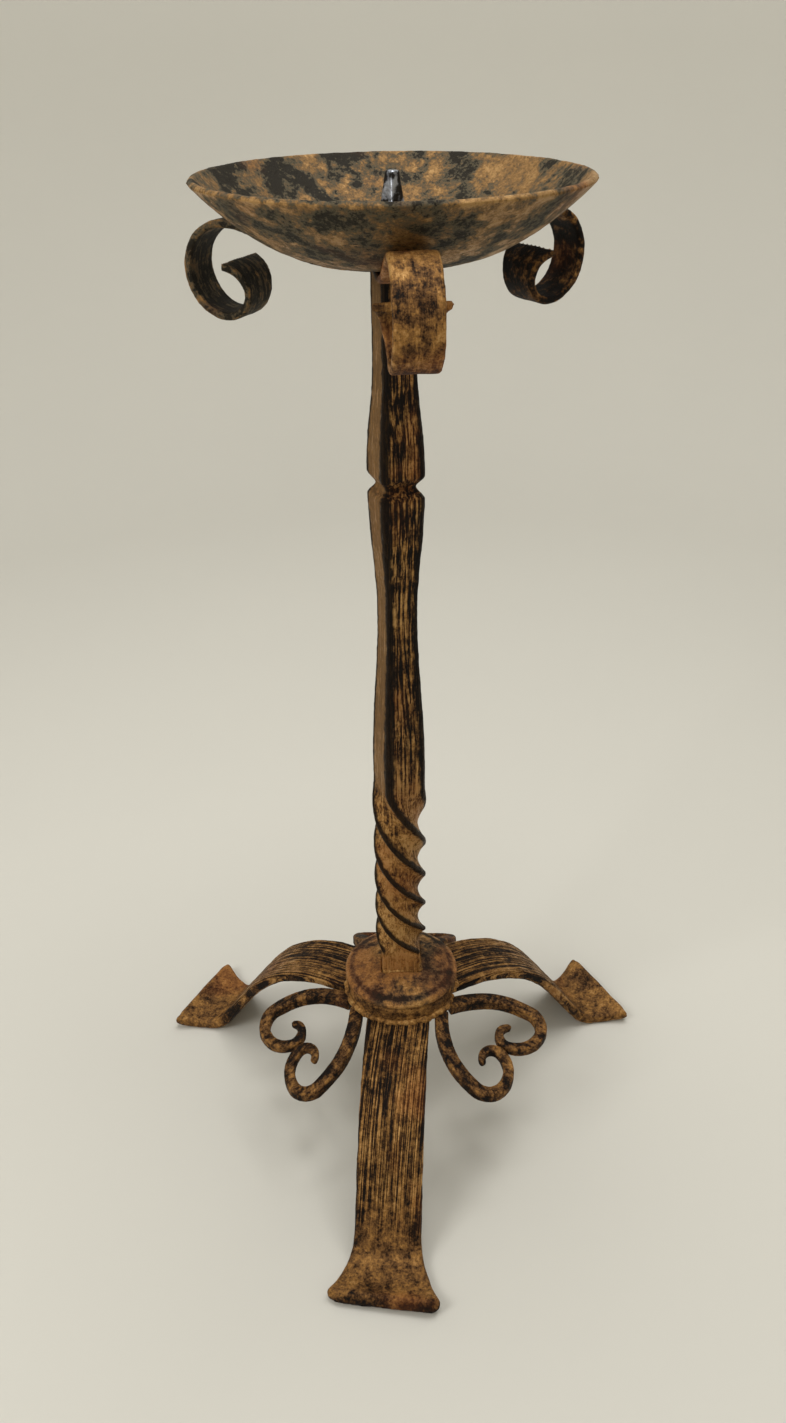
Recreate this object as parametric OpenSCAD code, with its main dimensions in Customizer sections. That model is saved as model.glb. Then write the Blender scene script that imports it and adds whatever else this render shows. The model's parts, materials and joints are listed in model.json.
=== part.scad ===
// Pricket candlestick in wrought iron, in millimetres.
// The origin is on the floor under the middle of the post, +Z is up and -Y is the front.
// A twisted square post stands on a three-legged hub and carries a drip pan on three
// flat scrolls. Three hearts, each a pair of C-scrolls, fill the corners between the legs.

/* [Post] */
// Length of the post, from the hub plate to the pan's scrolls
post_len = 226.4; // [200:0.2:250]
// Side of the square bar where it was left at its full size
bar = 12.7; // [10:0.1:14]
// Side of the bar where its top was drawn down
neck_side = 9.1; // [7:0.1:10]
// Side of the bar at its slim waist
waist_side = 8.9; // [7:0.1:10]
// Length of the drawn-down neck, from the top of the post
neck_len = 22; // [10:0.5:30]
// Distance of the chiselled notch from the top of the post
notch_drop = 53.7; // [45:0.1:62]
// Height of the chiselled notch between its two lips
notch_w = 5.8; // [3:0.1:8]
// Depth of the chiselled notch
notch_depth = 2; // [0.5:0.1:2.6]
// Distance of the slim waist from the top of the post
waist_drop = 90; // [76:0.5:100]
// Distance from the top of the post to where the bar is full size again
shoulder_drop = 140; // [115:0.5:145]
// Length of the twisted stretch
twist_len = 63.5; // [45:0.5:64]
// Turn of the twisted stretch, in degrees
twist_turn = 428; // [180:2:540]
// How much the twist tightens downwards, 1 for an even twist
twist_tighten = 1.27; // [1:0.01:1.5]
// Length of straight bar left below the twist
foot_len = 13.4; // [8:0.1:20]
// Width of the bevel along the bar's edges
bar_bevel = 0.9; // [0.3:0.1:1.4]
// How far the bar's faces are hollowed by the twist
flute = 0.7; // [0:0.1:1]

/* [Drip pan] */
// Diameter of the pan over its rim
pan_d = 94.6; // [84:0.2:110]
// Depth of the pan inside
pan_depth = 16.9; // [10:0.1:24]
// Thickness of the pan's sheet
pan_t = 1.6; // [1:0.1:2.4]
// Diameter of the flat middle of the pan
pan_flat_d = 20; // [14:0.5:30]
// How sharply the pan's wall turns up, 1 for a straight cone
pan_curve = 2.1; // [1.2:0.1:3]

/* [Pricket] */
// Height of the pricket above the inside of the pan
pricket_h = 18.2; // [10:0.1:40]
// Side of the square pricket where it leaves the pan
pricket_base = 7.2; // [5:0.1:8]
// Side of the square pricket at its chopped top
pricket_top = 2.6; // [1:0.1:4]
// Diameter of the round tang under the pricket
tang_d = 5; // [3:0.1:6]

/* [Bracket scrolls] */
// Width of the strap
strap_w = 11; // [8:0.1:13]
// Thickness of the strap
strap_t = 2; // [1.5:0.1:2.5]
// Length of strap that lies flat under the pan
strap_flat = 10.6; // [6:0.1:14]
// Angle at which the strap rises beside the pan
strap_rise = 24; // [12:1:32]
// Radius of the bend that turns the strap up
rise_r = 36; // [25:1:45]
// Distance from the middle of the post to the middle of the scroll's loop
strap_reach = 44.6; // [42.5:0.1:47]
// Radius of the bend that levels the strap again
level_r = 27; // [20:1:35]
// Radius of the scroll's large loop, along the middle of the strap
loop_r = 11.3; // [8:0.1:13]
// Radius of the scroll's inner curl, along the middle of the strap
curl_r = 6.4; // [4:0.1:7.4]
// Turn of the scroll's inner curl, in degrees
curl_turn = 172; // [90:2:200]
// Width of the flared tip
strap_tip_w = 17.6; // [12:0.1:22]
// Length over which the tip flares
strap_flare = 12; // [6:0.5:18]

/* [Hub] */
// Height of the hub plate's underside above the floor
hub_h = 47; // [40:0.5:60]
// Diameter of the hub plate
plate_d = 36.6; // [33:0.2:44]
// Thickness of the hub plate
plate_t = 6; // [3:0.1:10]
// Diameter of the dome over its rim
dome_d = 37.8; // [34:0.2:46]
// Height of the dome's upright rim
dome_rim = 1.8; // [1:0.1:4]
// Rise of the dome from its rim to the post
dome_rise = 4.4; // [2:0.1:10]
// Height of the groove under the dome's rim
groove_h = 1; // [0.4:0.1:1.6]
// Depth of the groove under the dome's rim
groove_depth = 1; // [0.4:0.1:2]

/* [Legs] */
// Width of a leg
leg_w = 20.6; // [16:0.1:23]
// Thickness of a leg
leg_t = 3.6; // [2.5:0.1:5]
// Distance from the middle of the hub to where a leg begins to bend down
leg_flat = 21.4; // [19.5:0.1:26]
// Radius of the leg's high bend, along the middle of the strap
crown_r = 42; // [25:0.5:50]
// Slope of the leg below its high bend, in degrees
leg_slope = 56; // [45:1:62]
// Radius of the bend above the foot
ankle_r = 8; // [5:0.1:12]
// Length of the sole that rests on the floor
sole_len = 2.6; // [1:0.1:6]
// Radius of the toe's upward bend
toe_r = 20; // [12:0.5:40]
// Upward turn of the toe, in degrees
toe_turn = 25; // [5:1:35]
// Width of the fish-tail foot at its end
foot_w = 35; // [26:0.5:42]
// Length over which the foot flares
foot_flare = 21; // [12:0.5:26]

/* [Heart scrolls] */
// Side of the square bar of the C-scrolls
scroll_bar = 4.6; // [3:0.1:5]
// Side of the bar at its drawn-out tip
scroll_tip = 1.5; // [1:0.1:2.5]
// Distance from the middle of the hub to the root of a C-scroll
scroll_root = 18; // [17:0.1:19]
// Radius of the C-scroll's long outer sweep
sweep_r = 29.3; // [24:0.1:34]
// Turn of the long outer sweep, in degrees
sweep_turn = 57.6; // [50:0.2:64]
// Radius of the shoulder at the heart's widest place
shoulder_r = 6.4; // [5:0.1:8]
// Radius of the bend at the heart's outer end
lobe_r = 9.4; // [8:0.1:11]
// Radius of the bend that leads into the curl
turn_r = 3.9; // [3.4:0.1:5]
// Radius of the small curl at the tip
tip_r = 3.2; // [2.4:0.1:3.6]

/* [Fit] */
// Gap between welded pieces, which the weld fills on the real object
fit = 0.06; // [0.02:0.01:0.2]

/* [Hidden] */

// Directions around the post, in degrees from +X, as the smith set them by eye
bracket_az = [-84.8, 34, 154.5];
leg_az = [-94.2, 28.2, 152.3];
heart_az = [-152.5, -36, 88];
// Each bracket's rise differs a little from the named one, in degrees
bracket_lift = [7, 5, 0];
// Downward droop of each heart and its sideways lean, in degrees
heart_droop = [24, 12, 37];
heart_lean = [7, -7, 0];
// Skew of each foot's chopped end, in degrees
foot_skew = [5, 0, 0];
// Direction of one edge of the post above the twist
post_edge_az = -113;

// Finest step along a bend, in degrees, and along a straight stretch
bend_step = 12;
straight_step = 8;
// Twist between two rings of the post, in degrees
twist_step = 8;
// Facets of a full circle on the turned pieces
$fn = 96;

// Heights of the stack, from the floor up
plate_top = hub_h + plate_t;
post_z = plate_top + fit;
post_top = post_z + post_len;
pan_z = post_top + strap_t + 2 * fit;
pan_inside_z = pan_z + pan_t;

// Colours of the rubbed black-and-gold finish
iron_dark = "#3a3028";
iron_brown = "#6b4a2c";
gilt = "#a87a3c";
bare_steel = "#9a9ca0";

function ease(u) = let (v = min(1, max(0, u))) v * v * (3 - 2 * v);
function dir(az) = [cos(az), sin(az), 0];
function across(az) = [-sin(az), cos(az), 0];
function unit(v) = v / norm(v);
function rad(deg) = deg * PI / 180;

// The smallest angle between two neighbours in a list of three directions
function wrap(deg) = deg - 360 * floor(deg / 360);
function least_step(az) = min([
    for (i = [0:2]) for (j = [0:2]) if (i != j) wrap(az[j] - az[i])
]);

// A path is bent as the smith bends it: a list of [radius, turn] for bends and
// [length, 0] for straight stretches. Turns to the left are positive.
// Each station is [x, y, heading, distance along the path].
function bend_len(m) = m[1] == 0 ? m[0] : m[0] * rad(abs(m[1]));
function bend_end(p, h, m, f) =
    m[1] == 0 ? p + m[0] * f * [cos(h), sin(h)] :
    let (s = sign(m[1]), g = h + m[1] * f)
    p + s * m[0] * [sin(g) - sin(h), cos(h) - cos(g)];
function bend_count(m) =
    m[1] == 0 ? ceil(m[0] / straight_step) : ceil(abs(m[1]) / bend_step);
function walk(moves, p, h, s = 0, i = 0) =
    i == len(moves) ? [[p[0], p[1], h, s]] :
    let (m = moves[i], n = bend_count(m), q = bend_end(p, h, m, 1))
    concat(
        [for (k = [0:n - 1])
            let (f = k / n, a = bend_end(p, h, m, f))
            [a[0], a[1], h + m[1] * f, s + bend_len(m) * f]],
        walk(moves, q, h + m[1], s + bend_len(m), i + 1)
    );
function total(moves, i = 0) =
    i == len(moves) ? 0 : bend_len(moves[i]) + total(moves, i + 1);

// The eight corners of a bar's bevelled section, w wide and t thick
function section(w, t, c) = [
    [w / 2, c - t / 2], [w / 2, t / 2 - c],
    [w / 2 - c, t / 2], [c - w / 2, t / 2],
    [-w / 2, t / 2 - c], [-w / 2, c - t / 2],
    [c - w / 2, -t / 2], [w / 2 - c, -t / 2]
];

// Closes a list of rings, all with the same number of corners, into one solid
// Each end is a fan about the ring's middle.
module skin(rings) {
    n = len(rings);
    m = len(rings[0]);
    middle = [for (r = [rings[0], rings[n - 1]]) [for (p = r) 1] * r / m];
    sides = [
        for (i = [0:n - 2]) for (j = [0:m - 1])
            let (a = i * m + j, b = i * m + (j + 1) % m)
            each [[a, a + m, b], [b, a + m, b + m]]
    ];
    ends = [
        for (j = [0:m - 1])
            let (k = (j + 1) % m, t = (n - 1) * m)
            each [[j, k, n * m], [t + k, t + j, n * m + 1]]
    ];
    polyhedron(concat([for (r = rings) each r], middle), concat(sides, ends));
}

// A flat strap bent in the upright plane at the direction az
// Each station gives its own width, and push slides a section's ends along the path
module strap(az, stations, widths, t, push) {
    d = dir(az);
    side = across(az);
    up = [0, 0, 1];
    skin([
        for (i = [0:len(stations) - 1])
            let (q = stations[i],
                 normal = cos(q[2]) * up - sin(q[2]) * d,
                 along = cos(q[2]) * d + sin(q[2]) * up)
            [for (c = section(widths[i], t, t / 5))
                q[0] * d + q[1] * up + c[0] * side + c[1] * normal + c[0] * push[i] * along]
    ]);
}

// Post

// Side of the bar and the heights, above the post's foot, where it changes
groove_z = post_len - notch_drop;
lip_side = bar - 0.3;
bar_profile = [
    [0, bar],
    [post_len - shoulder_drop, bar],
    [post_len - waist_drop, waist_side],
    [groove_z - notch_w / 2 - 1.6, lip_side],
    [groove_z - notch_w / 2, lip_side],
    [groove_z, lip_side - 2 * notch_depth],
    [groove_z + notch_w / 2, lip_side],
    [groove_z + notch_w / 2 + 2.4, lip_side],
    [post_len - neck_len, neck_side],
    [post_len, neck_side]
];
function bar_at(z, i = 0) =
    i >= len(bar_profile) - 2 || z <= bar_profile[i + 1][0]
    ? let (a = bar_profile[i], b = bar_profile[i + 1])
        a[1] + (b[1] - a[1]) * ease((z - a[0]) / (b[0] - a[0]))
    : bar_at(z, i + 1);
twist_top = foot_len + twist_len;
function twist_at(z) =
    z >= twist_top ? 0 :
    twist_turn * pow(min(1, (twist_top - z) / twist_len), twist_tighten);
function flute_at(z) =
    flute * ease((twist_top + 4 - z) / 10) * ease((z - foot_len / 2) / 6);
post_stretches = [
    [0, foot_len, 3],
    [foot_len, twist_top, ceil(twist_turn / twist_step)],
    [twist_top, post_len - shoulder_drop + 2, 3],
    [post_len - shoulder_drop + 2, groove_z - notch_w / 2 - 2, 9],
    [groove_z - notch_w / 2 - 2, groove_z + notch_w / 2 + 2, 10],
    [groove_z + notch_w / 2 + 2, post_len - neck_len, 6],
    [post_len - neck_len, post_len, 2]
];
post_levels = concat(
    [for (s = post_stretches) for (k = [0:s[2] - 1]) s[0] + (s[1] - s[0]) * k / s[2]],
    [post_len]
);

module post() {
    color(gilt)
    skin([
        for (z = post_levels)
            let (h = bar_at(z) / 2, turn = post_edge_az + 45 + twist_at(z),
                 e = h - bar_bevel * bar_at(z) / bar)
            [for (k = [0:3])
                let (a = turn + 90 * k, n = [cos(a), sin(a)], s = [-sin(a), cos(a)])
                for (q = [[h, -e], [h - flute_at(z), 0], [h, e]])
                    let (p = q[0] * n + q[1] * s)
                    [p[0], p[1], post_z + z]]
    ]);
}

// Drip pan and pricket

// Rise of the pan's underside at a distance from its middle
pan_flat_r = pan_flat_d / 2;
function pan_rise(r) =
    let (u = max(0, (r - pan_flat_r) / (pan_d / 2 - pan_flat_r)))
    (pan_depth + pan_t) * pow(u, pan_curve);
pan_wall_steps = 12;

module drip_pan() {
    radii = [for (k = [0:pan_wall_steps])
        pan_flat_r + (pan_d / 2 - pan_flat_r) * k / pan_wall_steps];
    under = [for (r = radii) [r, pan_rise(r)]];
    slope = [for (r = radii) atan2(pan_rise(r + 0.1) - pan_rise(r - 0.1), 0.2)];
    over = [for (k = [pan_wall_steps:-1:0])
        let (q = under[k], g = k == 0 ? 0 : slope[k])
        q + pan_t * [-sin(g), cos(g)]];
    hole_r = tang_d / 2 + fit;
    color(iron_brown)
    translate([0, 0, pan_z])
    rotate_extrude()
    polygon(concat([[hole_r, 0]], under, over, [[hole_r, pan_t]]));
}

module pricket() {
    levels = [0, pricket_h];
    sides = [pricket_base, pricket_top];
    color(bare_steel) {
        translate([0, 0, post_top + fit])
        cylinder(d = tang_d, h = pan_inside_z + 2 * fit - post_top);
        skin([
            for (i = [0:1])
                [for (c = section(sides[i], sides[i], sides[i] / 10))
                    let (a = 45)
                    [c[0] * cos(a) - c[1] * sin(a), c[0] * sin(a) + c[1] * cos(a),
                     pan_inside_z + fit + levels[i]]]
        ]);
    }
}

// Bracket scrolls

strap_in = strap_w / 2 / tan(least_step(bracket_az) / 2) + fit;

// A lifted scroll bends up more and down less, and its loop stays at the same reach
module bracket(i) {
    up = strap_rise + bracket_lift[i];
    down = strap_rise - bracket_lift[i];
    bends = rise_r * sin(up) + level_r * (sin(up) - sin(up - down)) + loop_r * sin(up - down);
    rise_len = (strap_reach - strap_in - strap_flat - bends) / cos(up);
    moves = [
        [strap_flat, 0], [rise_r, up], [rise_len, 0], [level_r, -down],
        [loop_r, -165], [(loop_r + curl_r) / 2, -30], [curl_r, -curl_turn + 15]
    ];
    stations = walk(moves, [strap_in, post_top + fit + strap_t / 2], 0);
    length = total(moves);
    widths = [for (q = stations)
        strap_w + (strap_tip_w - strap_w) * pow(max(0, 1 - (length - q[3]) / strap_flare), 1.6)];
    color(gilt)
    strap(bracket_az[i], stations, widths, strap_t, [for (q = stations) 0]);
}

// Hub

module hub_plate() {
    color(gilt)
    translate([0, 0, hub_h])
    rotate_extrude()
    polygon([
        [0, 0], [plate_d / 2 - 0.8, 0], [plate_d / 2, 0.8],
        [plate_d / 2, plate_t - groove_h],
        [plate_d / 2 - groove_depth, plate_t], [0, plate_t]
    ]);
}

module hub_dome() {
    rim_r = dome_d / 2;
    hole = bar + 2 * fit;
    arc_steps = 8;
    // A low cap: its surface is an arc through the rim's edge and the dome's middle
    cap_r = (rim_r * rim_r + dome_rise * dome_rise) / (2 * dome_rise);
    cap = [for (k = [0:arc_steps])
        let (r = rim_r * k / arc_steps)
        [r, dome_rim + dome_rise - cap_r + sqrt(cap_r * cap_r - r * r)]];
    edge = 0.5;
    color(iron_brown)
    translate([0, 0, plate_top + fit])
    difference() {
        rotate_extrude()
        polygon(concat(
            [for (k = [0:arc_steps - 1]) cap[k]],
            [[rim_r - edge, dome_rim + edge / 2], [rim_r, dome_rim - edge / 2],
             [rim_r, edge], [rim_r - groove_depth, 0], [0, 0]]
        ));
        rotate(post_edge_az + 45 + twist_turn)
        translate([-hole / 2, -hole / 2, -1])
        cube([hole, hole, dome_rim + dome_rise + 2]);
    }
}

// Legs

leg_in = leg_w / 2 / tan(least_step(leg_az) / 2) + fit;
leg_top_z = hub_h - fit;
leg_drop = leg_top_z - leg_t;
slope_len = (leg_drop - (crown_r + ankle_r) * (1 - cos(leg_slope))) / sin(leg_slope);

module leg(i) {
    moves = [
        [leg_flat - leg_in, 0], [crown_r, -leg_slope], [slope_len, 0],
        [ankle_r, leg_slope], [sole_len, 0], [toe_r, toe_turn]
    ];
    stations = walk(moves, [leg_in, leg_top_z - leg_t / 2], 0);
    length = total(moves);
    flare = [for (q = stations) max(0, 1 - (length - q[3]) / foot_flare)];
    widths = [for (f = flare) leg_w + (foot_w - leg_w) * pow(f, 1.5)];
    color(iron_dark)
    strap(leg_az[i], stations, widths, leg_t, [for (f = flare) tan(foot_skew[i]) * f * f]);
}

// Heart scrolls

scroll_moves = [
    [sweep_r, -sweep_turn], [shoulder_r, -88], [lobe_r, -78], [turn_r, -93], [tip_r, -88]
];
scroll_len = total(scroll_moves);
function scroll_side(s) =
    scroll_tip + (scroll_bar - scroll_tip) * pow(1 - s / scroll_len, 0.33);
// The pair of a heart touches where its scrolls turn back, which sets the root's place
scroll_heading = sweep_turn + 4;
scroll_probe = walk(scroll_moves, [0, 0], scroll_heading);
scroll_low = min([for (q = scroll_probe) if (q[2] < -90) q[1] - scroll_side(q[3]) / 2]);
scroll_start = [scroll_root, fit / 2 - scroll_low];

// A heart is made flat, then bent down over a short arc just outside the hub plate
droop_from = plate_d / 2 - 1;
droop_r = 12;
function drooped(a, g) =
    let (x = max(0, a - droop_from), bend = min(g, x / droop_r * 180 / PI),
         rest = x - droop_r * rad(bend))
    [a - x + droop_r * sin(bend) + rest * cos(bend),
     -droop_r * (1 - cos(bend)) - rest * sin(bend)];
function scroll_at(q, i, s) =
    let (p = drooped(q[0], heart_droop[i]), b = q[1] * s,
         lean = heart_lean[i] * ease((q[0] - droop_from) / 12))
    p[0] * dir(heart_az[i]) + b * cos(lean) * across(heart_az[i])
    + [0, 0, leg_top_z - scroll_bar / 2 + p[1] - b * sin(lean)];

module heart_scroll(i, s) {
    stations = walk(scroll_moves, scroll_start, scroll_heading);
    n = len(stations);
    middle = [for (q = stations) scroll_at(q, i, s)];
    color(iron_dark)
    skin([
        for (k = [0:n - 1])
            let (t = unit(middle[min(n - 1, k + 1)] - middle[max(0, k - 1)]),
                 out = unit(cross([0, 0, 1], t)), top = cross(t, out),
                 w = scroll_side(stations[k][3]))
            [for (c = section(w, w, w / 8))
                middle[k] + c[0] * out + c[1] * top]
    ]);
}

module bracket_front() { bracket(0); }
module bracket_right() { bracket(1); }
module bracket_left() { bracket(2); }
module leg_front() { leg(0); }
module leg_right() { leg(1); }
module leg_left() { leg(2); }
module heart_left_rear() { heart_scroll(0, -1); }
module heart_left_front() { heart_scroll(0, 1); }
module heart_right_front() { heart_scroll(1, -1); }
module heart_right_rear() { heart_scroll(1, 1); }
module heart_back_right() { heart_scroll(2, -1); }
module heart_back_left() { heart_scroll(2, 1); }

drip_pan();
pricket();
post();
bracket_front();
bracket_right();
bracket_left();
hub_dome();
hub_plate();
leg_front();
leg_right();
leg_left();
heart_left_rear();
heart_left_front();
heart_right_front();
heart_right_rear();
heart_back_right();
heart_back_left();
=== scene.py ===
"""Dresses the wrought-iron candlestick: forged, blackened and rubbed with old gold.

All sizes are in metres, in the part's own frame: +Z up, the front leg towards -Y.
"""

import json
import math
from random import Random

import bpy
from mathutils import Matrix, Vector

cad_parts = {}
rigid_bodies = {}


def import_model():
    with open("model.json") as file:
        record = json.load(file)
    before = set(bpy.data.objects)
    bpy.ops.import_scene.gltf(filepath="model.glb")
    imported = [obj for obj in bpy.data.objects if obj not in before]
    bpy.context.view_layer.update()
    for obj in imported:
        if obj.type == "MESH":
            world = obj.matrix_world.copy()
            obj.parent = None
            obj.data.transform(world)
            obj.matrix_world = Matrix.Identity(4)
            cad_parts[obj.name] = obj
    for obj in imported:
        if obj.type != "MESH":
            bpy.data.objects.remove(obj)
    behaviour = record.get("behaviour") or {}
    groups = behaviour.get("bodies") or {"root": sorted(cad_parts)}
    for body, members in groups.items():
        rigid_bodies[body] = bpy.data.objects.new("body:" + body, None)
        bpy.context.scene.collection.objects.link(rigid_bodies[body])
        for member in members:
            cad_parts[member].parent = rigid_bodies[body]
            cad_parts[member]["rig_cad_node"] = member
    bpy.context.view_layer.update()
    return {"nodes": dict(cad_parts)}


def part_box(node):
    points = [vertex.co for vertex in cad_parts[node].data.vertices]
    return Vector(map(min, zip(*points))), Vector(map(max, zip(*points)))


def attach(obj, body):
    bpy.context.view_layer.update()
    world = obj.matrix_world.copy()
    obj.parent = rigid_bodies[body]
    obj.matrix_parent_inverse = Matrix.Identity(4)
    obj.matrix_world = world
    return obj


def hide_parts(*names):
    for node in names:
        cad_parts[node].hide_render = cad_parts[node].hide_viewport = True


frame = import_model()
MM = 0.001

# The direction in which the post's left face looks, as an angle from +X
LEFT_FACE = math.radians(-158)

bl_info = {
    "name": "Forged candlestick",
    "version": (1, 0, 0),
    "blender": (4, 5, 0),
    "location": "3D View > Sidebar > Candlestick",
    "description": "Gives the candlestick its hammered skin, its rubbed gilt finish and its stage",
    "category": "Object",
}


def linear(code):
    """Turns an sRGB hex colour into the linear colour that Blender works in."""
    parts = [int(code[i : i + 2], 16) / 255 for i in (1, 3, 5)]
    return tuple(c / 12.92 if c <= 0.04045 else ((c + 0.055) / 1.055) ** 2.4 for c in parts)


def colour(name, description, code):
    """A colour property with its default given as an sRGB hex value."""
    return bpy.props.FloatVectorProperty(
        name=name, description=description, size=4, subtype="COLOR", min=0, max=1, default=(*linear(code), 1)
    )


def length(name, description, millimetres):
    """A length property with its default given in millimetres."""
    return bpy.props.FloatProperty(
        name=name, description=description, unit="LENGTH", subtype="DISTANCE", default=millimetres * MM
    )


class ForgeSizes(bpy.types.PropertyGroup):
    """Sizes of the marks that forging and welding leave."""

    grain: length("Grain", "Size of the faces that a forged skin is made of", 0.45)
    sheet_grain: length("Sheet grain", "Size of the faces of the pan's skin", 0.62)
    dent_width: length("Dent width", "Distance between neighbouring hammer marks", 6.5)
    dent_depth: length("Dent depth", "Depth of a hammer mark", 0.22)
    scale_width: length("Scale width", "Size of the rough patches that fire scale leaves", 1.5)
    scale_depth: length("Scale depth", "Depth of the rough patches that fire scale leaves", 0.07)
    bead: length("Weld bead", "Radius of one drop of weld", 1.3)


class FinishColours(bpy.types.PropertyGroup):
    """Colours of the finish, from the black ground up to the rubbed gold."""

    black: colour("Blacking", "Blacking in the hollows", "#0e0703")
    umber: colour("Umber", "Brown glaze over the blacking", "#3c2610")
    ochre: colour("Ochre", "Glaze and gilding cream rubbed together", "#664727")
    gold: colour("Old gold", "Gilding cream rubbed over the high places", "#8f6634")
    pale_gold: colour("Pale gold", "Gilding cream where it lies thickest", "#b38a54")
    rust: colour("Rust", "Orange bloom under the gilding", "#8a4a20")
    slate: colour("Slate", "Grey where the glaze is thin and the iron shows through", "#55503f")
    steel: colour("Bare iron", "Iron with no finish, on the spike", "#b4b8c0")
    cloth: colour("Stage", "Plain pale floor and backdrop", "#d0cdc3")


def sizes():
    """The forge sizes that are set in this scene."""
    return bpy.context.scene.candlestick_sizes


def colours():
    """The finish colours that are set in this scene."""
    return bpy.context.scene.candlestick_colours


def add(tree, kind, inputs=(), output=0, **settings):
    """Adds a node, sets its properties, fills its inputs with values or links, and gives an output."""
    node = tree.nodes.new(kind)
    for name, value in settings.items():
        setattr(node, name, value)
    for socket, value in dict(inputs).items():
        if isinstance(value, bpy.types.NodeSocket):
            tree.links.new(value, node.inputs[socket])
        else:
            node.inputs[socket].default_value = value
    return node.outputs[output] if node.outputs else node


def new_material(name):
    """An empty material with its shader, ready for a finish."""
    material = bpy.data.materials.new(name)
    material.use_nodes = True
    tree = material.node_tree
    tree.nodes.clear()
    shader = add(tree, "ShaderNodeBsdfPrincipled")
    add(tree, "ShaderNodeOutputMaterial", {"Surface": shader})
    return material, tree, shader.node


def mixed(below, above, share):
    """A colour between two others."""
    return [b + (a - b) * share for b, a in zip(below, above)]


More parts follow.
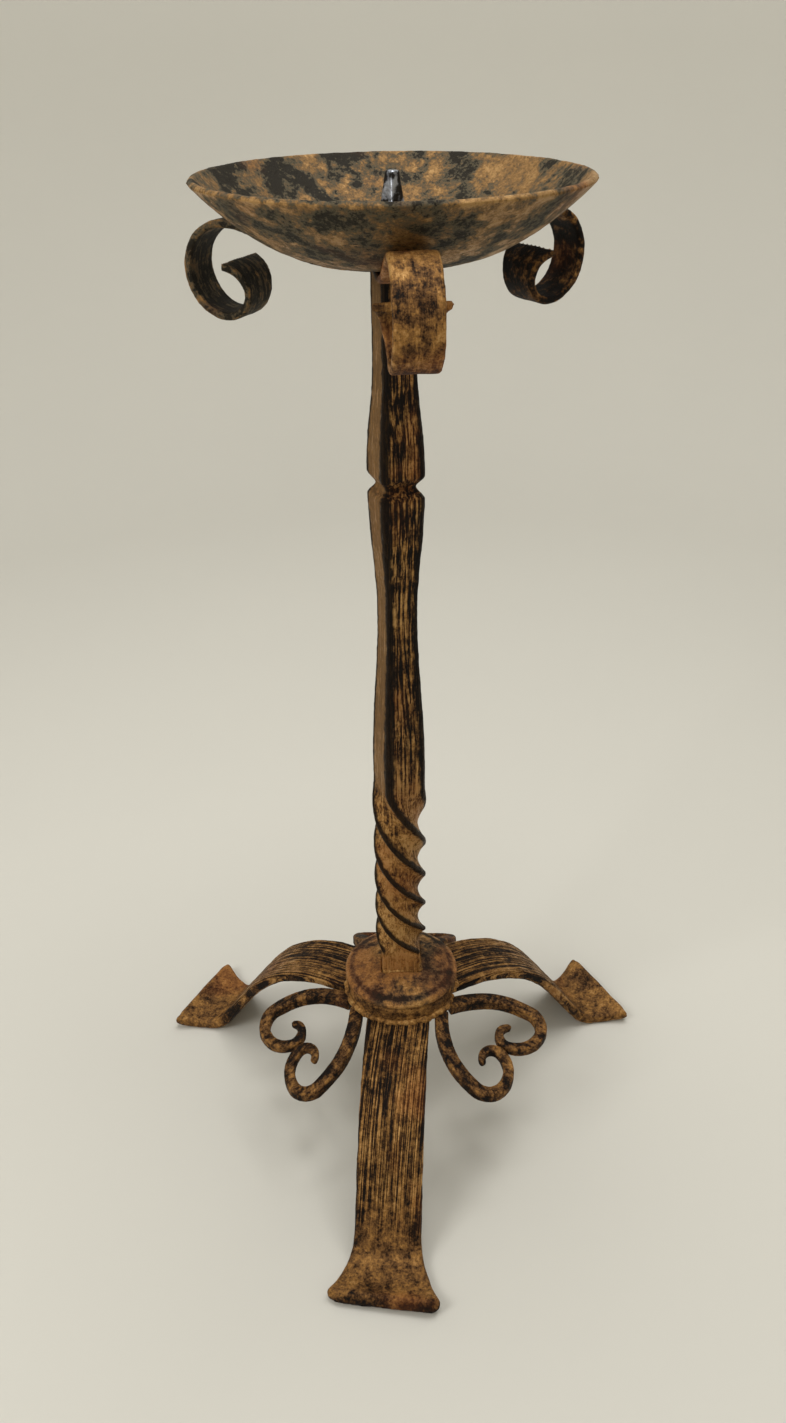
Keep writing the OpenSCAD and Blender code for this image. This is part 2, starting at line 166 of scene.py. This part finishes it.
def rubbed_iron(
    name,
    turn=0,
    stroke=(14, 1.3, 14),
    coat=0,
    streaks=1,
    sponging=1,
    patching=0.6,
    grit=0.5,
    edging=1,
    rust=0.2,
    grey=0,
):
    """Wrought iron, blacked in the hollows, glazed brown, and rubbed with gilding cream.

    The cream catches on edges and on the high places of the hammered skin and leaves brush
    strokes, so the eye sees black, brown, ochre and gold in broken streaks and patches.
    turn is the direction of the piece round the post, and stroke is the length of a brush mark
    along, across and up it, in millimetres. coat is how much more cream than usual was rubbed on.
    streaks, sponging, patching and grit say how strongly brush, sponge, cloth and sand marked it.
    Two attributes on the piece change that from place to place: the one for cream adds to the coat and on
    some pieces carries painted light and shade as well, and where plain is 1 there are no brush marks.
    """
    paint = colours()
    material, tree, shader = new_material(name)
    places = add(tree, "ShaderNodeTexCoord", output="Object")
    turned = add(tree, "ShaderNodeMapping", {"Vector": places, "Rotation": (0, 0, -turn)})
    brushed = add(tree, "ShaderNodeMapping", {"Vector": turned, "Scale": [1 / s for s in stroke]})
    marks = {
        "cloud": (places, 27, 3, 0.5, 0.0),
        "patch": (turned, 13, 6, 0.7, 0.2),
        "sponge": (turned, 3.4, 6, 0.75, 0.2),
        "speck": (turned, 0.8, 4, 0.7, 0.0),
        "brush": (brushed, 1, 5, 0.75, 0.1),
    }
    for mark, (place, width, detail, roughness, warp) in marks.items():
        marks[mark] = add(
            tree,
            "ShaderNodeTexNoise",
            {
                "Vector": place,
                "Scale": 1 / (width * MM),
                "Detail": detail,
                "Roughness": roughness,
                "Distortion": warp,
            },
        )
    for mark in ("patch", "brush"):
        marks[mark] = add(
            tree,
            "ShaderNodeMapRange",
            {"Value": marks[mark], "From Min": 0.43, "From Max": 0.57, "To Min": 0.4, "To Max": 0.6},
            interpolation_type="SMOOTHSTEP",
        )
    plain = add(tree, "ShaderNodeAttribute", output="Fac", attribute_name="plain")
    marks["brush"] = add(tree, "ShaderNodeMix", {0: plain, 2: marks["brush"], 3: 0.5}, data_type="FLOAT")
    bend = add(tree, "ShaderNodeNewGeometry", output="Pointiness")
    marks["edge"] = add(
        tree,
        "ShaderNodeMapRange",
        {"Value": bend, "From Min": 0.505, "From Max": 0.55},
        interpolation_type="SMOOTHSTEP",
    )
    # Less cream in the hollows: blacking left in them, and painted shade as falls in a hollow.
    marks["hollow"] = add(
        tree,
        "ShaderNodeMapRange",
        {"Value": bend, "From Min": 0.497, "From Max": 0.45},
        interpolation_type="SMOOTHSTEP",
    )
    # This attribute holds more or less cream, and on some pieces painted light and shade.
    marks["laid_cream_and_light"] = add(tree, "ShaderNodeAttribute", output="Fac", attribute_name="cream_and_light")
    weights = {"patch": patching, "sponge": sponging, "speck": grit, "brush": streaks}
    cream_and_light = 0.5 + coat - sum(weights.values()) / 2
    weights.update({"edge": 0.09 * edging, "hollow": -0.16, "laid_cream_and_light": 1})
    for mark, weight in weights.items():
        cream_and_light = add(tree, "ShaderNodeMath", {0: marks[mark], 1: weight, 2: cream_and_light}, operation="MULTIPLY_ADD")

    finish = add(tree, "ShaderNodeValToRGB", {"Fac": cream_and_light})
    coats = (
        (0.35, mixed(paint.black, paint.slate, 0.2 * grey)),
        (0.43, mixed(paint.umber, paint.slate, grey)),
        (0.54, mixed(paint.ochre, paint.slate, 0.7 * grey)),
        (0.66, mixed(paint.gold, paint.slate, 0.4 * grey)),
        (0.82, mixed(paint.pale_gold, paint.slate, 0.3 * grey)),
    )
    stops = finish.node.color_ramp.elements
    for place, tint in coats[2:]:
        stops.new(place)
    for stop, (place, tint) in zip(stops, coats):
        stop.position = place
        stop.color = tint

    bloom = add(
        tree,
        "ShaderNodeMapRange",
        {"Value": marks["cloud"], "From Min": 0.64 - 0.2 * rust, "From Max": 0.8 - 0.2 * rust, "To Max": 0.5},
        interpolation_type="SMOOTHSTEP",
    )
    bloom = add(tree, "ShaderNodeMath", {0: bloom, 1: cream_and_light}, operation="MULTIPLY")
    pits = add(
        tree,
        "ShaderNodeMapRange",
        {"Value": marks["speck"], "From Min": 0.42, "From Max": 0.3, "To Max": 0.6},
        interpolation_type="SMOOTHSTEP",
    )
    for factor, tint in ((bloom, paint.rust), (pits, paint.black)):
        finish = add(tree, "ShaderNodeMix", {0: factor, 6: finish, 7: tint}, output=2, data_type="RGBA")

    gilded = add(
        tree,
        "ShaderNodeMapRange",
        {"Value": cream_and_light, "From Min": 0.52, "From Max": 0.8},
        interpolation_type="SMOOTHSTEP",
    )
    metallic = add(tree, "ShaderNodeMath", {0: gilded, 1: 0.4}, operation="MULTIPLY")
    rough = add(tree, "ShaderNodeMath", {0: gilded, 1: -0.26, 2: 0.64}, operation="MULTIPLY_ADD")
    relief = 0
    for mark, height in (("sponge", 0.8), ("speck", 0.5), ("brush", 0.7 * streaks)):
        relief = add(tree, "ShaderNodeMath", {0: marks[mark], 1: height, 2: relief}, operation="MULTIPLY_ADD")
    bump = add(tree, "ShaderNodeBump", {"Height": relief, "Strength": 0.9, "Distance": 0.5 * MM})
    sources = {"Base Color": finish, "Metallic": metallic, "Roughness": rough, "Normal": bump}
    for socket, source in sources.items():
        tree.links.new(source, shader.inputs[socket])
    shader.inputs["Specular IOR Level"].default_value = 0.12
    return material


def bare_iron():
    """Bare forged iron: the finish is worn off the spike, so it is grey and shines in spots."""
    paint = colours()
    material, tree, shader = new_material("bare forged iron")
    places = add(tree, "ShaderNodeTexCoord", output="Object")
    spots = add(
        tree,
        "ShaderNodeTexNoise",
        {"Vector": places, "Scale": 1 / (3.2 * MM), "Detail": 5, "Distortion": 0.4},
    )
    scratches = add(tree, "ShaderNodeTexNoise", {"Vector": places, "Scale": 1 / (0.7 * MM), "Detail": 4})
    dark = add(
        tree,
        "ShaderNodeMapRange",
        {"Value": spots, "From Min": 0.4, "From Max": 0.53},
        interpolation_type="SMOOTHSTEP",
    )
    tint = add(tree, "ShaderNodeMix", {0: dark, 6: paint.steel, 7: paint.black}, output=2, data_type="RGBA")
    metallic = add(tree, "ShaderNodeMath", {0: dark, 1: -0.6, 2: 0.9}, operation="MULTIPLY_ADD")
    rough = add(tree, "ShaderNodeMath", {0: scratches, 1: 0.3, 2: 0.2}, operation="MULTIPLY_ADD")
    bump = add(tree, "ShaderNodeBump", {"Height": scratches, "Strength": 0.5, "Distance": 0.2 * MM})
    sources = {"Base Color": tint, "Metallic": metallic, "Roughness": rough, "Normal": bump}
    for socket, source in sources.items():
        tree.links.new(source, shader.inputs[socket])
    return material


def glazed_post(material):
    """The post's finish: blacking and painted shade along the corners, and one face left smooth and painted a
    lighter, even brown, as painted light from the left.

    The attributes corner and left_face on the post say where those are.
    """
    paint = colours()
    tree = material.node_tree
    shader = tree.nodes["Principled BSDF"]
    finish = shader.inputs["Base Color"].links[0].from_socket
    places = add(tree, "ShaderNodeTexCoord", output="Object")
    ragged = add(tree, "ShaderNodeTexNoise", {"Vector": places, "Scale": 1 / (2.5 * MM), "Detail": 4})
    # The face turned to the left is painted a lighter, even brown: painted light from the left.
    lit_left_face = add(tree, "ShaderNodeAttribute", output="Fac", attribute_name="left_face")
    lit_left_face = add(tree, "ShaderNodeMath", {0: lit_left_face, 1: 0.7}, operation="MULTIPLY")
    # Blacking along the corners, which also stands for painted shade on the faces beside them.
    corner = add(tree, "ShaderNodeAttribute", output="Fac", attribute_name="corner")
    corner = add(tree, "ShaderNodeMath", {0: ragged, 1: 0.2, 2: corner}, operation="MULTIPLY_ADD")
    corner = add(
        tree,
        "ShaderNodeMapRange",
        {"Value": corner, "From Min": 0.95, "From Max": 1.04, "To Max": 0.95},
        interpolation_type="SMOOTHSTEP",
    )
    for factor, tint in ((lit_left_face, mixed(paint.ochre, paint.pale_gold, 0.35)), (corner, paint.black)):
        finish = add(tree, "ShaderNodeMix", {0: factor, 6: finish, 7: tint}, output=2, data_type="RGBA")
    tree.links.new(finish, shader.inputs["Base Color"])
    return material


def only(piece):
    """Makes one object the only selected and active one."""
    bpy.ops.object.select_all(action="DESELECT")
    piece.select_set(True)
    bpy.context.view_layer.objects.active = piece


def apply_modifier(piece, kind, **settings):
    """Adds a modifier to the active piece, sets it and applies it."""
    modifier = piece.modifiers.new(kind.lower(), kind)
    for name, value in settings.items():
        setattr(modifier, name, value)
    bpy.ops.object.modifier_apply(modifier=modifier.name)


def relief_texture(name, kind, width):
    """A texture for dents and scale whose features are about width metres wide."""
    texture = bpy.data.textures.get(name) or bpy.data.textures.new(name, kind)
    texture.noise_scale = width
    return texture


def hammer(piece, dents=1.0):
    """Raises and sinks a dense skin as the hammer and the fire scale do."""
    size = sizes()
    marks = relief_texture("hammer marks", "VORONOI", size.dent_width)
    scale = relief_texture("fire scale", "CLOUDS", size.scale_width)
    for texture, depth in ((marks, size.dent_depth * dents), (scale, size.scale_depth)):
        apply_modifier(
            piece, "DISPLACE", texture=texture, texture_coords="LOCAL", strength=2 * depth, mid_level=0.5
        )


def crease_sharp_edges(piece, angle):
    """Marks the piece's sharp edges, so that its bends are rounded and its corners stay."""
    bpy.ops.object.mode_set(mode="EDIT")
    bpy.ops.mesh.select_mode(type="EDGE")
    bpy.ops.mesh.select_all(action="DESELECT")
    bpy.ops.mesh.edges_select_sharp(sharpness=angle)
    bpy.ops.object.mode_set(mode="OBJECT")
    crease = piece.data.attributes.new("crease_edge", "FLOAT", "EDGE")
    for edge in piece.data.edges:
        crease.data[edge.index].value = 1.0 if edge.select else 0.0


def forged_skin(node, name, grain, soften=5, dents=1.0):
    """Copies a CAD piece, smooths its bends, gives it an even skin and hammers it."""
    only(frame["nodes"][node])
    bpy.ops.object.duplicate()
    piece = bpy.context.object
    piece.name = name
    piece.data.name = name
    del piece["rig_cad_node"]
    bpy.ops.object.mode_set(mode="EDIT")
    bpy.ops.mesh.select_all(action="SELECT")
    bpy.ops.mesh.remove_doubles(threshold=0.001 * MM)
    bpy.ops.mesh.tris_convert_to_quads()
    bpy.ops.object.mode_set(mode="OBJECT")
    crease_sharp_edges(piece, math.radians(26))
    apply_modifier(piece, "SUBSURF", levels=2, render_levels=2)
    apply_modifier(piece, "REMESH", mode="VOXEL", voxel_size=grain)
    apply_modifier(piece, "SMOOTH", factor=0.5, iterations=soften)
    hammer(piece, dents)
    bpy.ops.object.shade_smooth()
    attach(piece, "root")
    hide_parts(node)
    return piece


def wear(piece, material):
    """Gives a piece its finish."""
    piece.data.materials.clear()
    piece.data.materials.append(material)


def middle(node):
    """The middle of a CAD piece's box."""
    low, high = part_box(node)
    return (low + high) / 2


def direction(node):
    """The direction of a CAD piece round the post, as an angle from +X."""
    place = middle(node)
    return math.atan2(place.y, place.x)


def store(piece, name, rule):
    """Stores a number on each point of a piece, for its material to read."""
    values = piece.data.attributes.new(name, "FLOAT", "POINT").data
    for v in piece.data.vertices:
        values[v.index].value = rule(v)


def ramp(value, low, high):
    """Runs from 0 at low to 1 at high."""
    return min(1, max(0, (value - low) / (high - low)))


class ForgePost(bpy.types.Operator):
    """Forges the post: one square bar, drawn down, notched and twisted."""

    bl_idname = "candlestick.post"
    bl_label = "Post"

    def execute(self, context):
        piece = forged_skin("post", "forged_post", 0.4 * MM, soften=2, dents=0.3)
        slice_height = 1 * MM
        reach = {}
        for v in piece.data.vertices:
            key = round(v.co.z / slice_height)
            reach[key] = max(reach.get(key, 0), math.hypot(v.co.x, v.co.y))
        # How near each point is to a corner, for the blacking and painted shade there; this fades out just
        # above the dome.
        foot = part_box("hub_dome")[1].z
        store(
            piece,
            "corner",
            lambda v: math.hypot(v.co.x, v.co.y) / reach[round(v.co.z / slice_height)]
            - 0.3 * ramp(v.co.z, foot + 9 * MM, foot + 4 * MM),
        )
        twist_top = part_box("post")[0].z + 79 * MM
        # Marks the upper face turned to the left, for the finish to paint it lighter as painted light.
        left = Vector((math.cos(LEFT_FACE), math.sin(LEFT_FACE), 0))
        store(
            piece,
            "left_face",
            lambda v: ramp(v.normal.dot(left), 0.6, 0.85) * ramp(v.co.z, twist_top - 5 * MM, twist_top),
        )
        store(piece, "plain", lambda v: 0.6 * ramp(v.co.z, twist_top, twist_top - 12 * MM))
        notch = slice_height * min((k for k in reach if twist_top < k * slice_height < 0.26), key=reach.get)
        store(
            piece,
            "cream_and_light",
            lambda v: 0.25 * ramp(v.co.z, twist_top + 24 * MM, twist_top + 4 * MM)
            + 0.14 * ramp(abs(v.co.z - notch), 14 * MM, 2 * MM),
        )
        finish = rubbed_iron(
            "rubbed wrought iron, post",
            stroke=(0.6, 0.6, 26),
            coat=-0.08,
            streaks=2.6,
            sponging=1.2,
            patching=1,
            rust=0.8,
        )
        wear(piece, glazed_post(finish))
        return {"FINISHED"}


class ForgePan(bpy.types.Operator):
    """Beats out the drip pan from sheet."""

    bl_idname = "candlestick.pan"
    bl_label = "Drip pan"

    def execute(self, context):
        piece = forged_skin("drip_pan", "beaten_pan", sizes().sheet_grain, soften=3, dents=0.5)
        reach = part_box("drip_pan")[1].x
        right = 0.7 * reach

        def cream_and_light(v):
            """More on the right inside and on the rim, and less on the left inside; darker under the pan near
            the post, which is painted shade.
            """
            out = math.hypot(v.co.x, v.co.y)
            inside = ramp(v.normal.z, 0, 0.5)
            lip = ramp(out, reach - 1.4 * MM, reach - 0.6 * MM)
            # Painted shade on the underside near the post, where the brackets meet it.
            shade_under_pan = (1 - inside) * ramp(out, 0.65 * reach, 0.3 * reach)
            return inside * (0.06 * ramp(v.co.x, -right, right) - 0.12) + 0.06 * lip - 0.2 * shade_under_pan

        store(piece, "cream_and_light", cream_and_light)
        finish = rubbed_iron(
            "sponged wrought iron, pan",
            coat=0.04,
            streaks=0,
            sponging=1,
            patching=1.7,
            grit=0.5,
            edging=0.8,
            rust=0.5,
            grey=0.8,
        )
        wear(piece, finish)
        return {"FINISHED"}


class ForgeSpike(bpy.types.Operator):
    """Forges the bare spike that holds the candle."""

    bl_idname = "candlestick.spike"
    bl_label = "Spike"

    def execute(self, context):
        piece = forged_skin("pricket", "forged_spike", 0.3 * MM, soften=2, dents=0.5)
        wear(piece, bare_iron())
        return {"FINISHED"}


class ForgeBrackets(bpy.types.Operator):
    """Forges the three flat scrolls under the pan."""

    bl_idname = "candlestick.brackets"
    bl_label = "Bracket scrolls"

    def execute(self, context):
        looks = {
            "bracket_front": ("rubbed_gilt_iron", {"coat": 0.06, "rust": 1, "patching": 0.9, "streaks": 0.6}),
            "bracket_right": ("gilded_black_iron", {"coat": -0.14, "sponging": 1.6, "streaks": 0.4}),
            "bracket_left": ("gilded_black_iron", {"coat": -0.16, "grey": 0.6, "edging": 2.6}),
        }
        for node, (slot, look) in looks.items():
            piece = forged_skin(node, "forged_" + node, sizes().grain, soften=4, dents=0.6)
            if node == "bracket_front":
                left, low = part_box(node)[0].x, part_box(node)[0].z
                store(
                    piece,
                    "cream_and_light",
                    lambda v: -0.2 * ramp(v.co.x, left + 5 * MM, left + 1 * MM)
                    - 0.06 * ramp(v.co.z, low + 16 * MM, low + 8 * MM),
                )
            name = "rubbed wrought iron, " + node.replace("_", " ")
            wear(piece, rubbed_iron(name, turn=direction(node), stroke=(9, 1.2, 9), **look))
        return {"FINISHED"}


class ForgeHub(bpy.types.Operator):
    """Presses the dome and cuts the plate that the legs hang from."""

    bl_idname = "candlestick.hub"
    bl_label = "Hub"

    def execute(self, context):
        dome = forged_skin("hub_dome", "pressed_dome", sizes().grain, soften=4, dents=0.5)
        groove = 0.88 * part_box("hub_dome")[1].x
        store(
            dome,
            "cream_and_light",
            lambda v: -0.27 * ramp(abs(math.hypot(v.co.x, v.co.y) - groove), 1.3 * MM, 0.4 * MM),
        )
        finish = rubbed_iron(
            "rubbed wrought iron, dome",
            coat=0.03,
            streaks=0,
            sponging=1.2,
            patching=1.2,
            rust=1,
            grey=0.3,
        )
        wear(dome, finish)
        plate = forged_skin("hub_plate", "cut_plate", sizes().grain, soften=4, dents=1.0)
        finish = rubbed_iron(
            "rubbed wrought iron, plate", stroke=(4, 4, 4), coat=0.02, streaks=0.6, rust=0.45
        )
        wear(plate, finish)
        return {"FINISHED"}


def round_corners(piece, along, toe, radius):
    """Rounds the two corners at the end of a foot, as seen from above."""
    across = Vector((-along.y, along.x, 0))
    ends = [v.co.dot(across) for v in piece.data.vertices if v.co.dot(along) > toe - 2 * MM]
    middle, half = (max(ends) + min(ends)) / 2, (max(ends) - min(ends)) / 2
    for v in piece.data.vertices:
        side = v.co.dot(across) - middle
        out = v.co.dot(along) - (toe - radius)
        over = abs(side) - (half - radius)
        if out > 0 and over > 0:
            pull = 1 - max(out, over) / math.hypot(out, over)
            v.co -= along * out * pull + across * math.copysign(over * pull, side)


def blunt_toe(piece, rule):
    """Rounds and thickens the end of a foot, as the hammer upsets it; rule gives how far at a point."""
    group = piece.vertex_groups.new(name="toe")
    for v in piece.data.vertices:
        weight = rule(v)
        if weight > 0:
            group.add([v.index], weight, "REPLACE")
    apply_modifier(piece, "SMOOTH", vertex_group="toe", factor=0.5, iterations=24)
    apply_modifier(piece, "DISPLACE", vertex_group="toe", strength=0.5 * MM, mid_level=0)
    piece.vertex_groups.clear()


class ForgeLegs(bpy.types.Operator):
    """Forges the three arched legs with their fish-tail feet."""

    bl_idname = "candlestick.legs"
    bl_label = "Legs"

    def execute(self, context):
        for node in ("leg_front", "leg_right", "leg_left"):
            piece = forged_skin(node, "forged_" + node, sizes().grain, soften=5, dents=0.8)
            along = Vector((math.cos(direction(node)), math.sin(direction(node)), 0))
            toe = max(v.co.dot(along) for v in piece.data.vertices)
            round_corners(piece, along, toe, 4 * MM)
            blunt_toe(piece, lambda v: ramp(v.co.dot(along), toe - 8 * MM, toe - 2 * MM))
            store(piece, "plain", lambda v: ramp(v.co.dot(along), toe - 26 * MM, toe - 16 * MM))
            # Lighter towards the foot, which is painted light from the pale floor below, and darker at the
            # very end of the toe.
            store(
                piece,
                "cream_and_light",
                lambda v: 0.1 * ramp(v.co.dot(along), toe - 26 * MM, toe - 16 * MM)
                - 0.15 * ramp(v.co.dot(along), toe - 1.6 * MM, toe - 0.4 * MM),
            )
            name = "rubbed wrought iron, " + node.replace("_", " ")
            finish = rubbed_iron(
                name,
                turn=direction(node),
                stroke=(30, 0.55, 30),
                coat=-0.03,
                streaks=1.9,
                edging=-1.2 if node == "leg_front" else 0.6,
                rust=0.5,
            )
            wear(piece, finish)
        return {"FINISHED"}


class ForgeHearts(bpy.types.Operator):
    """Forges the six C-scrolls that pair up as hearts."""

    bl_idname = "candlestick.hearts"
    bl_label = "Heart scrolls"

    def execute(self, context):
        for node in sorted(n for n in frame["nodes"] if n.startswith("heart_")):
            piece = forged_skin(node, "forged_" + node, 0.36 * MM, soften=4, dents=0.4)
            name = "rubbed wrought iron, " + node.replace("_", " ")
            finish = rubbed_iron(
                name, turn=direction(node), stroke=(6, 2, 6), coat=-0.07, streaks=0.6, rust=0.3
            )
            wear(piece, finish)
        return {"FINISHED"}


class LayWelds(bpy.types.Operator):
    """Lays the rough weld drops where the legs and scrolls leave the plate, and round the post's foot."""

    bl_idname = "candlestick.welds"
    bl_label = "Welds"

    def execute(self, context):
        low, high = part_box("hub_plate")
        edge = (high.x - low.x) / 2
        past = math.radians(3)
        shake = Random(7)
        drops = []
        for node in sorted(frame["nodes"]):
            if not node.startswith(("leg_", "heart_")):
                continue
            near = [
                v.co.copy()
                for v in frame["nodes"][node].data.vertices
                if abs(math.hypot(v.co.x, v.co.y) - edge) < 2.6 * MM and v.co.z > low.z - 6 * MM
            ]
            if not near:
                continue
            turns = sorted(math.atan2(p.y, p.x) for p in near)
            if turns[-1] - turns[0] > math.pi:
                turns = sorted(t % (2 * math.pi) for t in turns)
            first, last = turns[0] - past, turns[-1] + past
            count = max(2, round((last - first) * edge / (1.9 * MM)))
            for i in range(count + 1):
                t = first + (last - first) * i / count + shake.uniform(-0.02, 0.02)
                reach = edge + shake.uniform(-0.3, 0.4) * MM
                rise = low.z + shake.uniform(-0.5, 0.3) * MM
                drops.append((Vector((reach * math.cos(t), reach * math.sin(t), rise)), sizes().bead))
        dome_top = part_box("hub_dome")[1].z
        foot = [v.co for v in frame["nodes"]["post"].data.vertices if v.co.z < dome_top + 1 * MM]
        corner = max(foot, key=lambda p: math.hypot(p.x, p.y))
        corners = [Vector((corner.x, corner.y, dome_top - 0.4 * MM))]
        for i in range(4):
            corners.append(Matrix.Rotation(math.radians(90), 3, "Z") @ corners[-1])
        per_side = 8
        for start, end in zip(corners, corners[1:]):
            for i in range(per_side):
                drops.append((start.lerp(end, i / per_side), 0.6 * sizes().bead))
        bpy.ops.object.select_all(action="DESELECT")
        made = []
        for place, radius in drops:
            bpy.ops.mesh.primitive_ico_sphere_add(
                subdivisions=2, radius=radius * shake.uniform(0.75, 1.15), location=place
            )
            made.append(bpy.context.object)
        for drop in made:
            drop.select_set(True)
        bpy.ops.object.join()
        bpy.ops.object.transform_apply(location=True, rotation=True, scale=True)
        piece = bpy.context.object
        piece.name = "weld_beads"
        piece.data.name = "weld_beads"
        apply_modifier(piece, "REMESH", mode="VOXEL", voxel_size=0.35 * MM)
        apply_modifier(piece, "SMOOTH", factor=0.5, iterations=3)
        hammer(piece, dents=0.6)
        bpy.ops.object.shade_smooth()
        finish = rubbed_iron("rubbed weld metal", coat=0.1, streaks=0, rust=0.3)
        wear(piece, finish)
        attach(piece, "root")
        return {"FINISHED"}


# The photograph's camera, worked out from the post, the pan, the hub and the feet
LENS = 29.69
EYE = Vector((0.0, -0.2960, 0.3343))
LOOK_DOWN = math.radians(31.113)
LOOK_ASIDE = math.radians(-0.303)
ROLL = math.radians(-0.801)


def camera_turn():
    """The camera's orientation from its tilt, its turn to the side and its roll."""
    ahead = Vector(
        (
            math.sin(LOOK_ASIDE) * math.cos(LOOK_DOWN),
            math.cos(LOOK_ASIDE) * math.cos(LOOK_DOWN),
            -math.sin(LOOK_DOWN),
        )
    )
    right = ahead.cross(Vector((0, 0, 1))).normalized()
    up = right.cross(ahead)
    right_rolled = math.cos(ROLL) * right + math.sin(ROLL) * up
    up_rolled = math.cos(ROLL) * up - math.sin(ROLL) * right
    return Matrix((right_rolled, up_rolled, -ahead)).transposed().to_euler()


def lamp(name, place, width, power):
    """A soft square lamp that points at the middle of the candlestick."""
    bpy.ops.object.light_add(type="AREA", location=place)
    light = bpy.context.object
    light.name = name
    light.data.size = width
    light.data.energy = power
    light.rotation_euler = (Vector((0, 0, 0.15)) - Vector(place)).to_track_quat("-Z", "Y").to_euler()


class SetStage(bpy.types.Operator):
    """Sets the pale stage, the soft lamps and the camera."""

    bl_idname = "candlestick.stage"
    bl_label = "Stage"

    def execute(self, context):
        floor_reach, cove, wall_top = 0.55, 0.3, 1.1
        outline = [(0.001, 0), (floor_reach, 0)]
        outline += [
            (floor_reach + cove * math.sin(a), cove - cove * math.cos(a))
            for a in (math.radians(7.5 * i) for i in range(1, 13))
        ]
        outline.append((floor_reach + cove, wall_top))
        bpy.ops.object.select_all(action="DESELECT")
        bpy.ops.mesh.primitive_plane_add(size=1)
        stage = context.object
        stage.name = "pale_stage"
        bpy.ops.object.mode_set(mode="EDIT")
        bpy.ops.mesh.delete(type="VERT")
        bpy.ops.object.mode_set(mode="OBJECT")
        stage.data.vertices.add(len(outline))
        stage.data.edges.add(len(outline) - 1)
        for i, (reach, height) in enumerate(outline):
            stage.data.vertices[i].co = (reach, 0, height)
        for i in range(len(outline) - 1):
            stage.data.edges[i].vertices = (i, i + 1)
        apply_modifier(
            stage,
            "SCREW",
            axis="Z",
            steps=96,
            render_steps=96,
            use_merge_vertices=True,
            use_normal_calculate=True,
        )
        bpy.ops.object.shade_smooth()
        material, tree, shader = new_material("pale woven cloth")
        places = add(tree, "ShaderNodeTexCoord", output="Object")
        # A little darker in soft patches: painted shade of folds on the flat cloth.
        fold_shade = add(tree, "ShaderNodeTexNoise", {"Vector": places, "Scale": 1 / 0.35, "Detail": 3})
        shade = mixed(colours().cloth, colours().black, 0.07)
        soft = add(
            tree, "ShaderNodeMix", {0: fold_shade, 6: colours().cloth, 7: shade}, output=2, data_type="RGBA"
        )
        tree.links.new(soft, shader.inputs["Base Color"])
        shader.inputs["Roughness"].default_value = 0.9
        shader.inputs["Specular IOR Level"].default_value = 0.2
        stage.data.materials.append(material)

        world = bpy.data.worlds.new("studio")
        context.scene.world = world
        world.use_nodes = True
        backdrop = world.node_tree.nodes["Background"]
        backdrop.inputs["Color"].default_value = (1, 1, 1, 1)
        backdrop.inputs["Strength"].default_value = 0.5
        lamp("overhead_softbox", (0.1, 0.05, 1.0), 0.6, 5.4)
        lamp("left_softbox", (-0.45, -0.4, 0.6), 0.3, 2.3)

        context.scene.view_settings.view_transform = "Standard"
        bpy.ops.object.camera_add(location=EYE, rotation=camera_turn())
        camera = context.object
        camera.name = "photo_camera"
        camera.data.lens = LENS
        camera.data.sensor_width = 36
        camera.data.clip_start = 0.01
        context.scene.camera = camera
        return {"FINISHED"}


class CandlestickPanel(bpy.types.Panel):
    """Lists the steps in the order in which the candlestick is made."""

    bl_idname = "VIEW3D_PT_candlestick"
    bl_label = "Candlestick"
    bl_space_type = "VIEW_3D"
    bl_region_type = "UI"
    bl_category = "Candlestick"

    def draw(self, context):
        for group in (context.scene.candlestick_sizes, context.scene.candlestick_colours):
            box = self.layout.box()
            for name in group.__annotations__:
                box.prop(group, name)
        for step_class in STEPS:
            self.layout.operator(step_class.bl_idname)


STEPS = (
    ForgePost,
    ForgePan,
    ForgeSpike,
    ForgeBrackets,
    ForgeHub,
    ForgeLegs,
    ForgeHearts,
    LayWelds,
    SetStage,
)
CLASSES = (ForgeSizes, FinishColours, *STEPS, CandlestickPanel)


def register():
    for each in CLASSES:
        bpy.utils.register_class(each)
    bpy.types.Scene.candlestick_sizes = bpy.props.PointerProperty(type=ForgeSizes)
    bpy.types.Scene.candlestick_colours = bpy.props.PointerProperty(type=FinishColours)


def unregister():
    del bpy.types.Scene.candlestick_colours
    del bpy.types.Scene.candlestick_sizes
    for each in reversed(CLASSES):
        bpy.utils.unregister_class(each)


def main():
    register()
    bpy.ops.candlestick.post()
    bpy.ops.candlestick.pan()
    bpy.ops.candlestick.spike()
    bpy.ops.candlestick.brackets()
    bpy.ops.candlestick.hub()
    bpy.ops.candlestick.legs()
    bpy.ops.candlestick.hearts()
    bpy.ops.candlestick.welds()
    bpy.ops.candlestick.stage()


if __name__ == "__main__":
    main()
